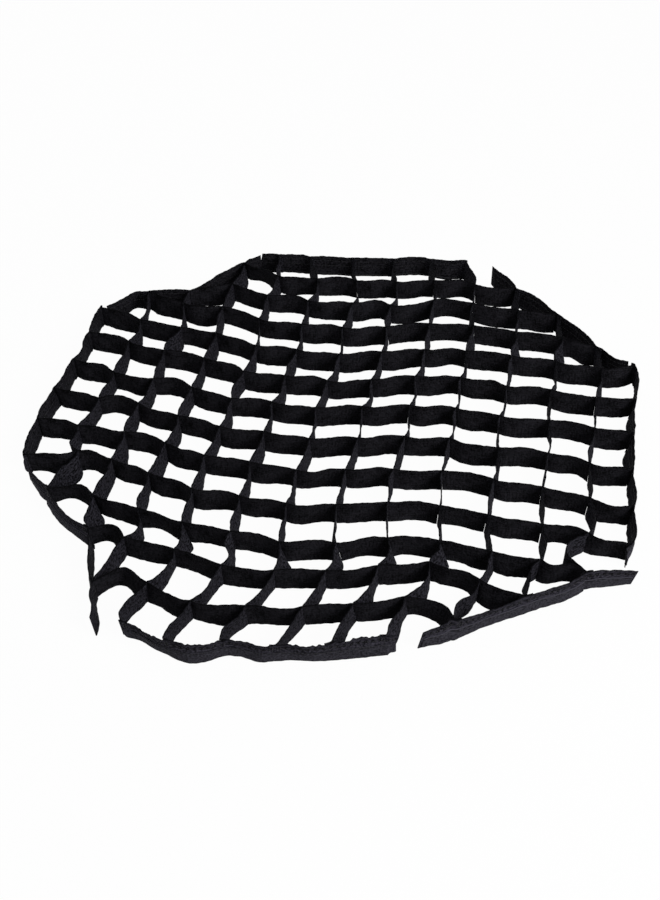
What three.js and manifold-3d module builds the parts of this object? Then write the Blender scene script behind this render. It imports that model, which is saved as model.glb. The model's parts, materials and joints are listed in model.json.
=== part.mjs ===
// Honeycomb grid: a fabric egg-crate grid for an octagonal softbox, laid loosely on a flat surface.
//
// Fabric strips stand on edge. Twelve cross strips and twelve long strips sit into each other by
// half-height slots, inside an octagonal rim of eight edge bands with hook tape on their outer
// faces. Each slanting band runs on past its last sewn strip at both ends, as a free corner flap
// that swings about the upright fold line.
//
// Frame: millimetres, +Z up, the strips' lower edges on z = 0, +X right and +Y to the far side.
// A crossing is named by its column (0 at the left band, 13 at the right one) and its row (0 at
// the far band, 13 at the near one).
import * as THREE from "three";
import { mergeVertices } from "three/addons/utils/BufferGeometryUtils.js";
import Module from "manifold-3d";

const wasm = await Module();
wasm.setup();

// Driving dimensions and counts.
const cell = 73; // from strip to strip
const strip_height = 38;
const fabric_thickness = 1.2;
const tape_height = 20;
const tape_thickness = 1.4;
const tape_lift = 2; // from the band's lower edge to the tape's
const seat_gap = 0.3; // left between two pieces that touch
const slot_gap = 0.4; // on each side of a strip in its neighbour's slot
const tab_length = 9; // folded end of a strip, sewn along the band
const tab_trim = 1; // a tab is cut this much lower than its strip at both edges
const fold_margin = 3; // from a slanting band's last tab to its flap's fold line
const tape_fold_margin = 4; // the tapes stop this far from the fold line
const tape_end_margin = 3; // and this far from a free end
const cut_overrun = 5;
const rim_steps_per_cell = 3;
const inner_steps_per_cell = 2;
const fold_round_steps = 3;

// The grid lies crumpled, as it was dropped. Each crossing has drifted from its place in a square
// lattice by these shares of the cell, to the far side and to the right. A line is one row, from
// its left end to its right end.
const far_drift_shares = [
  [-0.35, -0.3, -0.2, -0.1, 0.05, 0.15],
  [0.1, -0.4, -0.35, -0.25, -0.15, 0.05, 0.05, 0.05],
  [-0.35, 0.1, -0.25, -0.35, -0.25, -0.15, 0.2, 0.25, 0.15, 0.1],
  [0.45, 0.15, 0.05, -0.3, -0.3, -0.3, -0.05, 0.25, 0.35, 0.25, 0.15, -0.05],
  [0.6, 0.2, 0.05, 0, -0.35, -0.3, -0.35, -0.1, 0.15, 0.25, 0.25, 0.2, 0.1, 0.35],
  [0.55, 0.35, 0.15, 0, -0.35, -0.35, -0.35, -0.15, 0.15, 0.25, 0.1, 0.15, 0.1, 0.15],
  [0.45, 0.15, 0, -0.15, -0.35, -0.3, -0.3, -0.15, 0.1, 0.15, 0.05, 0.1, 0, 0],
  [0.35, 0.15, 0.15, -0.15, -0.35, -0.35, -0.4, -0.2, 0.05, 0.15, 0, 0, -0.1, -0.15],
  [0.3, 0.25, 0.2, 0, -0.3, -0.3, -0.35, -0.2, 0, 0.1, 0.05, -0.05, -0.15, -0.25],
  [0.15, 0.4, 0.25, 0, -0.3, -0.35, -0.4, -0.25, 0, 0.1, 0, -0.1, -0.2, -0.3],
  [0.2, 0.2, 0, -0.25, -0.35, -0.45, -0.25, 0, 0.15, 0.05, 0, -0.2],
  [0.25, 0.1, 0, -0.2, -0.2, -0.05, 0.25, 0.55, 0.3, 0],
  [-0.05, 0.1, -0.2, -0.1, 0, 0.25, 0.55, 0.2],
  [0.1, -0.15, 0, 0.05, 0.3, 0.65],
];
const right_drift_shares = [
  [-0.3, -0.4, -0.3, -0.25, -0.3, -0.4],
  [-0.1, -0.1, -0.05, 0, 0, -0.1, -0.05, -0.05],
  [-0.15, -0.15, -0.15, -0.1, 0, -0.05, 0, 0, 0.1, 0.05],
  [-0.15, -0.15, -0.1, -0.1, 0, -0.05, 0.05, 0.05, 0.05, 0.1, 0.2, 0],
  [-0.15, 0, 0.1, 0, 0.1, 0.05, 0.1, 0.05, 0.05, 0.05, 0.1, 0.15, 0.15, -0.1],
  [-0.05, 0, 0, 0, 0.05, 0.05, 0, 0, -0.05, 0, 0.05, 0.05, 0.1, -0.05],
  [-0.1, 0.05, 0.1, 0, 0.05, -0.05, -0.05, -0.05, 0, 0, 0, 0.1, 0.1, -0.1],
  [-0.15, 0.05, 0, 0.05, 0, 0.05, 0.05, 0.1, 0.05, 0, 0.1, 0.1, 0, -0.1],
  [-0.05, -0.1, 0, 0, -0.05, -0.05, 0, 0, 0, 0, 0.05, 0.1, 0.05, -0.05],
  [0.15, 0.2, 0, -0.1, -0.05, 0, 0, 0.05, 0.05, 0.1, 0.1, 0.15, 0.05, -0.15],
  [0.05, 0, 0.05, 0.05, 0.1, 0.15, 0.2, 0.2, 0.2, 0.2, 0.2, 0.05],
  [0.25, 0, 0.15, 0.15, 0.2, 0.15, 0.15, 0.1, 0.05, -0.05],
  [-0.15, -0.15, -0.2, -0.15, -0.1, -0.2, -0.25, -0.3],
  [-0.3, -0.4, -0.35, -0.3, -0.35, -0.4],
];

// The tables hold one line more than there are cells, and the slanting bands cut the corners.
const cells_across = far_drift_shares.length - 1;
const corner_cells = (cells_across + 1 - far_drift_shares[0].length) / 2;
const near_start = cells_across - corner_cells;

// Between two crossings the fabric bows a little. The bows of the crumpled places are set one by
// one, by strip and span; the others follow a slow wave along and across the strips.
const bow_wave_share = 0.035;
const bow_wave_turns_shares = [0.37, 0.23];
const cross_bow_shares = { 12: { 3: 0.35 }, 11: { 10: -0.05 }, 2: { 6: 0.08 } };
const long_bow_shares = { 1: { 9: -0.2 }, 4: { 12: -0.1 }, 10: { 11: 0.15 }, 12: { 9: -0.3 } };

// The first and last columns of a row, or rows of a column.
const firstCrossing = (line) => Math.max(0, corner_cells - line, line - near_start);
const lastCrossing = (line) => cells_across - firstCrossing(line);

const numbered = (name, n) => `${name}_${String(n).padStart(2, "0")}`;

// A crossing's place in plan, and a place beside it in shares of the cell.
function crossing(column, row) {
  const k = column - firstCrossing(row);
  const middle = cells_across / 2;
  return new THREE.Vector3(
    (column - middle + right_drift_shares[row][k]) * cell,
    (middle - row + far_drift_shares[row][k]) * cell,
    0,
  );
}
const beside = (point, [right, far]) =>
  point.clone().add(new THREE.Vector3(right * cell, far * cell, 0));

// A line of points along the curve through its places, with the bow of each span to the left of
// the way it runs, and the length of fabric from the line's start to each place.
function walk(places, steps_per_cell, bows = () => 0) {
  const curve = new THREE.CatmullRomCurve3(places, false, "catmullrom", 0.5);
  const spans = places.length - 1;
  const points = [places[0]];
  const at = [0];
  for (let span = 0; span < spans; span++) {
    const chord = places[span].distanceTo(places[span + 1]);
    const steps = Math.max(1, Math.round((chord / cell) * steps_per_cell));
    let gone = at[span];
    for (let n = 1; n <= steps; n++) {
      const along = (span + n / steps) / spans;
      const tangent = curve.getTangent(along);
      const left = new THREE.Vector3(-tangent.y, tangent.x, 0);
      const bow = bows(span) * cell * Math.sin((Math.PI * n) / steps);
      const point =
        n === steps ? places[span + 1] : curve.getPoint(along).addScaledVector(left, bow);
      gone += point.distanceTo(points[points.length - 1]);
      points.push(point);
    }
    at.push(gone);
  }
  return { points, at };
}

// The part of a line between two lengths of fabric from its start.
function stretch(points, from, to) {
  const gone = [0];
  for (let n = 1; n < points.length; n++) {
    gone.push(gone[n - 1] + points[n].distanceTo(points[n - 1]));
  }
  const pointAt = (length) => {
    const n = Math.max(1, gone.findIndex((one) => one >= length));
    const share = (length - gone[n - 1]) / (gone[n] - gone[n - 1]);
    return points[n - 1].clone().lerp(points[n], share);
  };
  const between = points.filter((_, n) => gone[n] > from && gone[n] < to);
  return [pointAt(from), ...between, pointAt(to)];
}

// The left-hand directions at a line's points, lengthened at bends so that offsets keep the width.
function leftOf(line) {
  return line.map((point, n) => {
    const before = line[Math.max(0, n - 1)];
    const after = line[Math.min(line.length - 1, n + 1)];
    const into = point === before ? after.clone().sub(point) : point.clone().sub(before);
    const out = point === after ? into.clone() : after.clone().sub(point);
    into.normalize();
    out.normalize();
    const half = into.clone().add(out).normalize();
    return new THREE.Vector3(-half.y, half.x, 0).divideScalar(half.dot(out));
  });
}

// A strip of fabric on edge: its plan outline extruded upwards. The line runs along the strip,
// aside moves it to the left, and a folding end is round about the line's first point.
function strip(line, { thickness, low, high, aside = 0, round_start = false }) {
  const left = leftOf(line);
  const side = (offset) =>
    line.map((p, n) => p.clone().addScaledVector(left[n], aside + offset));
  const outline = [...side(-thickness / 2), ...side(thickness / 2).reverse()];
  if (round_start) {
    const from = Math.atan2(left[0].y, left[0].x);
    for (let n = 1; n < fold_round_steps; n++) {
      const turn = from + (Math.PI * n) / fold_round_steps;
      outline.push(
        line[0]
          .clone()
          .add(new THREE.Vector3(Math.cos(turn), Math.sin(turn), 0).multiplyScalar(thickness / 2)),
      );
    }
  }
  const shape = new THREE.Shape(outline.map((p) => new THREE.Vector2(p.x, p.y)));
  const made = new THREE.ExtrudeGeometry(shape, { depth: high - low, bevelEnabled: false });
  made.translate(0, 0, low);
  return made;
}

function solid(geometry) {
  geometry.deleteAttribute("normal");
  geometry.deleteAttribute("uv");
  const merged = mergeVertices(geometry, 1e-4);
  return new wasm.Manifold(
    new wasm.Mesh({
      numProp: 3,
      vertProperties: merged.attributes.position.array,
      triVerts: new Uint32Array(merged.index.array),
    }),
  );
}

function geometryOf(body) {
  const mesh = body.getMesh();
  const made = new THREE.BufferGeometry();
  made.setAttribute("position", new THREE.BufferAttribute(mesh.vertProperties, 3));
  made.setIndex(new THREE.BufferAttribute(mesh.triVerts, 1));
  return made;
}

const fabric_strip = { thickness: fabric_thickness, low: 0, high: strip_height };
const clear_strip = {
  thickness: fabric_thickness + 2 * seat_gap,
  low: -cut_overrun,
  high: strip_height + cut_overrun,
};

// The rim's lines. A straight band runs through its five cells' crossings and a little past the
// last ones; a slanting band has three crossings and a flap's route at each end.
const straight = Array.from({ length: near_start - corner_cells + 1 }, (_, n) => corner_cells + n);
const slant = Array.from({ length: corner_cells - 1 }, (_, n) => n + 1);
const bands = {
  far: {
    crossings: straight.map((n) => [n, 0]),
    end_shares: [[[-0.38, -0.02]], [[0.08, -0.02]]],
    outward: 1,
  },
  right: {
    crossings: straight.map((n) => [cells_across, n]),
    end_shares: [[[-0.02, 0.08]], [[-0.05, -0.25]]],
    outward: 1,
  },
  near: {
    crossings: straight.map((n) => [n, cells_across]),
    end_shares: [[[-0.02, 0.05]], [[0.12, 0.02]]],
    outward: -1,
  },
  left: {
    crossings: straight.map((n) => [0, n]),
    end_shares: [[[0, 0.05]], [[0.04, -0.05]]],
    outward: -1,
  },
  far_left: {
    crossings: slant.map((n) => [n, corner_cells - n]),
    end_shares: [
      [[-0.85, -0.77], [-0.32, -0.05]],
      [[0.3, 0.38]],
    ],
    outward: 1,
    flaps: [10, 11],
  },
  far_right: {
    crossings: slant.map((n) => [near_start + n, n]),
    end_shares: [
      [[-0.62, 0.86]],
      [[0.39, -0.33], [0.72, -0.45]],
    ],
    outward: 1,
    flaps: [1, 2],
  },
  near_right: {
    crossings: slant.map((n) => [near_start + n, cells_across - n]),
    end_shares: [
      [[-0.45, -0.4]],
      [[0.24, 0.09], [0.92, 0.19]],
    ],
    outward: -1,
    flaps: [5, 4],
  },
  near_left: {
    crossings: slant.map((n) => [n, near_start + n]),
    end_shares: [
      [[-0.75, 0.68], [-0.6, 0.45]],
      [[0.3, -0.82]],
    ],
    outward: -1,
    flaps: [8, 7],
  },
};

for (const band of Object.values(bands)) {
  const inner = band.crossings.map(([column, row]) => crossing(column, row));
  const [start, end] = band.end_shares;
  band.places = [
    ...start.map((shares) => beside(inner[0], shares)),
    ...inner,
    ...end.map((shares) => beside(inner[inner.length - 1], shares)),
  ];
  band.first = start.length;
  const { points, at } = walk(band.places, rim_steps_per_cell);
  band.line = points;
  band.sewn_at = band.crossings.map((_, n) => at[band.first + n]);
  band.length = at[at.length - 1];
}

const fold_reach = tab_length + fold_margin;
const fold_clear = fabric_thickness / 2 + seat_gap;
const pieces = new Map();
const tape_strip = {
  thickness: tape_thickness,
  low: tape_lift,
  high: tape_lift + tape_height,
};
const tape_aside = fabric_thickness / 2 + seat_gap + tape_thickness / 2;

// A slanting band ends at its two fold lines, and its flaps go on from there to the free ends.
for (const [name, band] of Object.entries(bands)) {
  const bandPart = (from, to) => solid(strip(stretch(band.line, from, to), fabric_strip));
  const aside = band.outward * tape_aside;
  const tape = (from, to) =>
    solid(strip(stretch(band.line, from, to), { ...tape_strip, aside }));
  const free_end = band.length - tape_end_margin;
  if (!band.flaps) {
    pieces.set(`edge_band_${name}`, solid(strip(band.line, fabric_strip)));
    pieces.set(`hook_tape_${name}`, tape(tape_end_margin, free_end));
    continue;
  }
  const folds = [band.sewn_at[0] - fold_reach, band.sewn_at[band.sewn_at.length - 1] + fold_reach];
  pieces.set(`edge_band_${name}`, bandPart(folds[0] + fold_clear, folds[1] - fold_clear));
  pieces.set(`hook_tape_${name}`, tape(folds[0] + tape_fold_margin, folds[1] - tape_fold_margin));
  const flap_lines = [
    stretch(band.line, 0, folds[0]).reverse(),
    stretch(band.line, folds[1], band.length),
  ];
  const flap_tapes = [
    tape(tape_end_margin, folds[0] - tape_fold_margin),
    tape(folds[1] + tape_fold_margin, free_end),
  ];
  band.flaps.forEach((clock, n) => {
    const flap = strip(flap_lines[n], { ...fabric_strip, round_start: true });
    pieces.set(numbered("corner_flap", clock), solid(flap));
    pieces.set(numbered("flap_tape", clock), flap_tapes[n]);
  });
}

// The inner strips. Each is cut by its neighbours' half-height slots and ends at the rim.
const inner = Array.from({ length: cells_across - 1 }, (_, n) => n + 1);
const bowOf = (set, line) => (span) => {
  const along = firstCrossing(line) + span;
  const turns = bow_wave_turns_shares[0] * line + bow_wave_turns_shares[1] * along;
  return set[line]?.[along] ?? bow_wave_share * Math.sin(2 * Math.PI * turns);
};
function innerStrip(line, place, set) {
  const first = firstCrossing(line);
  const last = lastCrossing(line);
  const places = Array.from({ length: last - first + 1 }, (_, n) => place(first + n));
  return { line, places, path: walk(places, inner_steps_per_cell, bowOf(set, line)).points };
}
const cross_strips = inner.map((row) =>
  innerStrip(row, (column) => crossing(column, row), cross_bow_shares),
);
const long_strips = inner.map((column) =>
  innerStrip(column, (row) => crossing(column, row), long_bow_shares),
);
for (const one of [...cross_strips, ...long_strips]) {
  one.whole = solid(strip(one.path, clear_strip));
}
const clear_bands = Object.values(bands).map((band) => solid(strip(band.line, clear_strip)));
const allOf = (bodies) => wasm.Manifold.union(bodies);
const clear_rim = allOf(clear_bands);

// The slots that a set of strips cuts in the others: at each of its crossings, a short straight
// piece of the strip with room round it, as high as half a strip.
const slot_length = 6 * fabric_thickness;
function slots(set, low, high) {
  const section = { thickness: fabric_thickness + 2 * slot_gap, low, high };
  const cutters = set.flatMap(({ places, path }) =>
    places.map((place) => {
      const n = path.indexOf(place);
      const before = path[Math.max(0, n - 1)];
      const after = path[Math.min(path.length - 1, n + 1)];
      const half = after.clone().sub(before).setLength(slot_length / 2);
      return solid(strip([place.clone().sub(half), place.clone().add(half)], section));
    }),
  );
  return allOf(cutters);
}
const middle = strip_height / 2;
const long_slots = slots(long_strips, -cut_overrun, middle + seat_gap / 2);
const cross_slots = slots(cross_strips, middle - seat_gap / 2, strip_height + cut_overrun);

const tab_strip = {
  thickness: fabric_thickness,
  low: tab_trim,
  high: strip_height - tab_trim,
};

// A strip's end turns and is sewn along the band: towards the middle of a straight band, and away
// from the other strip that ends at the same place of a slanting one.
function tab(column, row, slant_way, others) {
  const band = Object.values(bands).find((one) =>
    one.crossings.some(([c, r]) => c === column && r === row),
  );
  const number = band.crossings.findIndex(([c, r]) => c === column && r === row);
  const middle_way = number < band.crossings.length / 2 ? 1 : -1;
  const way = band.flaps ? slant_way : middle_way;
  const from = band.sewn_at[number] + (band.flaps ? way * seat_gap : 0);
  const to = from + way * tab_length;
  const line = stretch(band.line, Math.min(from, to), Math.max(from, to));
  const aside = -band.outward * (fabric_thickness + seat_gap);
  const made = solid(strip(line, { ...tab_strip, aside }));
  return others.reduce((body, other) => body.subtract(other), made);
}

// A tab that a steep bend cuts off from its strip is left out.
const oneBody = (body) => {
  const parts = body.decompose();
  return parts.reduce((largest, part) => (part.volume() > largest.volume() ? part : largest));
};

function finished(one, ends, slots, ways, other_strips) {
  const tabs = ends.map(([column, row], n) => {
    const others = other_strips
      .filter((other) => other.line === (ends === one.cross_ends ? column : row))
      .map((other) => other.whole);
    return tab(column, row, ways[n], others);
  });
  const joined = allOf([solid(strip(one.path, fabric_strip)), ...tabs]);
  return oneBody(joined.subtract(slots).subtract(clear_rim));
}

// On the slanting bands the cross strips' tabs turn to the far and near sides, and the long
// strips' tabs to the left and right.
for (const one of cross_strips) {
  const row = one.line;
  one.cross_ends = [
    [firstCrossing(row), row],
    [lastCrossing(row), row],
  ];
  pieces.set(
    numbered("cross_strip", row),
    finished(one, one.cross_ends, long_slots, [1, -1], long_strips),
  );
}
for (const one of long_strips) {
  const column = one.line;
  const ends = [
    [column, firstCrossing(column)],
    [column, lastCrossing(column)],
  ];
  const way = column < corner_cells ? -1 : 1;
  pieces.set(
    numbered("long_strip", column),
    finished(one, ends, cross_slots, [way, way], cross_strips),
  );
}

const fabric = new THREE.MeshStandardMaterial({ color: 0x1d1c20, roughness: 0.95, metalness: 0 });
const band_fabric = new THREE.MeshStandardMaterial({ color: 0x2b2a31, roughness: 0.9, metalness: 0 });
const hook_tape = new THREE.MeshStandardMaterial({ color: 0x46454e, roughness: 0.8, metalness: 0 });

const grid = new THREE.Group();
for (const [name, body] of pieces) {
  const material = /tape/.test(name) ? hook_tape : /band|flap/.test(name) ? band_fabric : fabric;
  const mesh = new THREE.Mesh(geometryOf(body), material);
  mesh.name = name;
  grid.add(mesh);
}

// The origin is the middle of the grid's foot.
const middle_of_foot = new THREE.Box3().setFromObject(grid).getCenter(new THREE.Vector3()).setZ(0);
grid.position.sub(middle_of_foot);

export default grid;
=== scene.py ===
# Honeycomb grid for an octagonal softbox, as it lies loosely on a white table.
# Metres, +Z up, +Y to the far side. Each piece of cloth is modelled flat, as it was cut: x runs
# along it, y up its height and z out of its face. Then it is stood on the line that its CAD
# node follows, and creased as soft cloth is.
import json
import math

import bpy
import numpy as np
from mathutils import Matrix, Vector, noise


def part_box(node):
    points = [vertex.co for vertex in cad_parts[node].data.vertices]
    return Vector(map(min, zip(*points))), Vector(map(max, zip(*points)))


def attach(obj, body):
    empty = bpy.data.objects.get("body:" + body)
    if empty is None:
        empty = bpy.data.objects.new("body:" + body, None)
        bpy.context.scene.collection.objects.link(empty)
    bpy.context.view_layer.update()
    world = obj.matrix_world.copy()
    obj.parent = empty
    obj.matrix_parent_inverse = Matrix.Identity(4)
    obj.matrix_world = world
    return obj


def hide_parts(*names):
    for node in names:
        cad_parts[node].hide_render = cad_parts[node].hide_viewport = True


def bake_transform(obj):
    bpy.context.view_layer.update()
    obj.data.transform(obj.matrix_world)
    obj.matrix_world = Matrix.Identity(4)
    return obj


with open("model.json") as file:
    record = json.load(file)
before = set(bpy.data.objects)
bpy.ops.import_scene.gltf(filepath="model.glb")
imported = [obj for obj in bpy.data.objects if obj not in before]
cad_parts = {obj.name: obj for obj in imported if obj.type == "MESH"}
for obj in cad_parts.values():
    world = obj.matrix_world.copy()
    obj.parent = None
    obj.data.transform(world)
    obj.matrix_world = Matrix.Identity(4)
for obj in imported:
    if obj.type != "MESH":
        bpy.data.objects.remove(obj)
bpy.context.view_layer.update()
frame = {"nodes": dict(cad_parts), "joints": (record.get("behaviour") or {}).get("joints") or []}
nodes = frame["nodes"]
bpy.ops.object.select_all(action="DESELECT")
mm = 0.001


# The rim and the strips as lines on the table
# The grid is one piece of cut and sewn cloth, so each piece's place is the line that its foot
# follows, and where two lines meet the cloth is slotted or sewn.
corner_reach = 2.6 * mm
height_match = 0.02 * mm
line_step = 0.8 * mm
strip_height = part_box("cross_strip_06")[1].z


def middle_line(names, height):
    """The middle of the cloth that these nodes hold, as plan points from end to end. Their
    outline is read at a height where nothing but the cloth's own edge has corners."""
    corners = {
        (round(v.co.x, 6), round(v.co.y, 6))
        for name in names
        for v in nodes[name].data.vertices
        if abs(v.co.z - height) < height_match
    }
    groups = []
    for corner in sorted(corners):
        near = [g for g in groups if any(math.dist(corner, other) < corner_reach for other in g)]
        joined = [corner] + [other for g in near for other in g]
        groups = [g for g in groups if g not in near] + [joined]
    places = [tuple(np.mean(g, axis=0)) for g in groups]
    middle = np.mean(places, axis=0)
    line = [max(places, key=lambda place: math.dist(place, middle))]
    places.remove(line[0])
    while places:
        line.append(min(places, key=lambda place: math.dist(place, line[-1])))
        places.remove(line[-1])
    return np.array(line)


class Line:
    """A line on the table, walked by its own length. Right of it is the cloth's outer face."""

    def __init__(self, points):
        steps = np.hypot(*np.diff(points, axis=0).T)
        self.gone = np.concatenate([[0], np.cumsum(steps)])
        self.points = points
        self.length = float(self.gone[-1])

    def at(self, along):
        """Plan points at these lengths, straight on past both ends."""
        along = np.asarray(along, float)
        inside = np.clip(along, 0, self.length)
        place = np.stack([np.interp(inside, self.gone, self.points[:, k]) for k in (0, 1)], -1)
        return place + self.way(along) * (along - inside)[..., None]

    def way(self, along):
        """Unit directions at these lengths."""
        inside = np.clip(along, line_step, self.length - line_step)
        ends = [
            np.stack([np.interp(inside + d, self.gone, self.points[:, k]) for k in (0, 1)], -1)
            for d in (-line_step, line_step)
        ]
        way = ends[1] - ends[0]
        return way / np.linalg.norm(way, axis=-1, keepdims=True)

    def right(self, along):
        """Unit directions to the right of the line at these lengths."""
        way = self.way(along)
        return np.stack([way[..., 1], -way[..., 0]], -1)

    def nearest(self, point):
        """The length at which the line passes nearest to a point."""
        return float(self.gone[np.argmin(np.linalg.norm(self.points - point, axis=1))])


def smooth_line(places):
    """The smooth line through plan points, in short steps."""
    places = np.array(places)
    at = np.concatenate([[0], np.cumsum(np.hypot(*np.diff(places, axis=0).T))])
    slope = np.gradient(places, at, axis=0)
    steps = np.arange(0, at[-1], line_step)
    n = np.clip(np.searchsorted(at, steps, side="right") - 1, 0, len(at) - 2)
    span = (at[n + 1] - at[n])[:, None]
    t = (steps - at[n])[:, None] / span
    curve = (
        places[n] * (2 * t**3 - 3 * t**2 + 1)
        + places[n + 1] * (3 * t**2 - 2 * t**3)
        + slope[n] * span * (t**3 - 2 * t**2 + t)
        + slope[n + 1] * span * (t**3 - t**2)
    )
    return Line(np.vstack([curve, places[-1:]]))


# A slanting side of the rim runs on past its last strip at both ends as a corner flap.
flap_sides = {
    "far_left": ("10", "11"),
    "far_right": ("01", "02"),
    "near_right": ("04", "05"),
    "near_left": ("07", "08"),
}
sides = ["far", "far_right", "right", "near_right", "near", "near_left", "left", "far_left"]
rim = {}
for side in sides:
    names = ["edge_band_" + side] + ["corner_flap_" + hour for hour in flap_sides.get(side, ())]
    places = middle_line(names, strip_height)
    chord = places[-1] - places[0]
    # Right of the line is the outside of the rim.
    if chord[0] * -places[0][1] - chord[1] * -places[0][0] < 0:
        places = places[::-1]
    rim[side] = smooth_line(places)

cross_names = [f"cross_strip_{n:02d}" for n in range(1, 13)]
long_names = [f"long_strip_{n:02d}" for n in range(1, 13)]
# The cross strips are slotted from below and the long strips from above, so their outlines are
# whole at the other edge.
clean_edge = {**dict.fromkeys(cross_names, strip_height), **dict.fromkeys(long_names, 0.0)}
inner_places = {name: middle_line([name], clean_edge[name]) for name in cross_names + long_names}
for name, places in inner_places.items():
    # A cross strip runs from left to right, and a long strip from far to near.
    run = places[-1] - places[0]
    if (run[0] if name in cross_names else -run[1]) < 0:
        inner_places[name] = places[::-1]

# Each end of a strip is turned and sewn flat to the rim's inner face, as a tab.
cloth_thickness = 1.4 * mm
band_thickness = 1.5 * mm
tab_length = 9 * mm
tab_trim = 1 * mm
tab_search = 2.5 * tab_length
tab_points = 8
beyond_end = 2 * mm
lead_in = 4 * mm
seam_gap = 0.1 * mm
shared_seam_room = 1.3 * mm
fold_radius = 1.6 * mm
crossing_match = 0.3 * mm


def sewn_end(name, line, end):
    """The plan points of a strip's end from its fold at the rim to the tip of its tab, and how
    the tab runs along the rim: the side, the seam's place on it, and which way, or 0 for none."""
    along = 0.0 if end == 0 else line.length
    tip = line.at(-beyond_end if end == 0 else line.length + beyond_end)
    side = min(sides, key=lambda s: np.linalg.norm(rim[s].points - tip, axis=1).min())
    band = rim[side]
    joint = band.nearest(tip)
    seen = np.array(
        [
            v.co.xy
            for v in nodes[name].data.vertices
            if abs(v.co.z - (strip_height - tab_trim)) < height_match
            and math.dist(v.co.xy, line.at(along)) < tab_search
        ]
    )
    inward = -(cloth_thickness + band_thickness) / 2 - seam_gap
    joints_on_side.setdefault(side, []).append(joint)
    if not len(seen):
        return [band.at(joint) + band.right(joint) * inward], (side, joint, 0)
    way = 1 if band.nearest(seen.mean(axis=0)) > joint else -1
    room = shared_seam_room if side in flap_sides else 0
    steps = joint + way * (room + np.linspace(0, tab_length, tab_points))
    return list(band.at(steps) + band.right(steps) * inward), (side, joint, way)


def rounded(points):
    """The line through plan points with its sharp bends rounded as a fold of cloth is."""
    raw = Line(np.array(points))
    steps = np.linspace(0, raw.length, max(3, round(raw.length / line_step)))
    even = raw.at(steps)
    reach = round(fold_radius / line_step)
    padded = np.vstack([even[:1]] * reach + [even] + [even[-1:]] * reach)
    window = np.full(2 * reach + 1, 1 / (2 * reach + 1))
    return Line(np.stack([np.convolve(padded[:, k], window, "valid") for k in (0, 1)], -1))


joints_on_side = {}
strip_lines = {}
tab_marks = {}
seams = {}
for name, places in inner_places.items():
    line = smooth_line(places)
    middle = line.at(np.arange(lead_in, line.length - lead_in, line_step))
    (start, first), (finish, last) = sewn_end(name, line, 0), sewn_end(name, line, 1)
    seams[name] = (first, last)
    strip_lines[name] = rounded([*start[::-1], *middle, *finish])
    tab_marks[name] = (
        tab_length if len(start) > 1 else 0,
        strip_lines[name].length - (tab_length if len(finish) > 1 else 0),
    )

# Two strips cross where their lines have a point in common.
crossings = {name: [] for name in inner_places}
for cross in cross_names:
    for long in long_names:
        for place in inner_places[cross][1:-1]:
            if np.linalg.norm(inner_places[long][1:-1] - place, axis=1).min() < crossing_match:
                crossings[cross].append((place, long))
                crossings[long].append((place, cross))


# Soft cloth
# Cloth that was folded for years doesn't stand straight. Its pieces pull at each other where they
# meet, their edges bow between those places, and all of it is creased. These measures are in
# millimetres, as the whole grid lies on the table.

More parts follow.
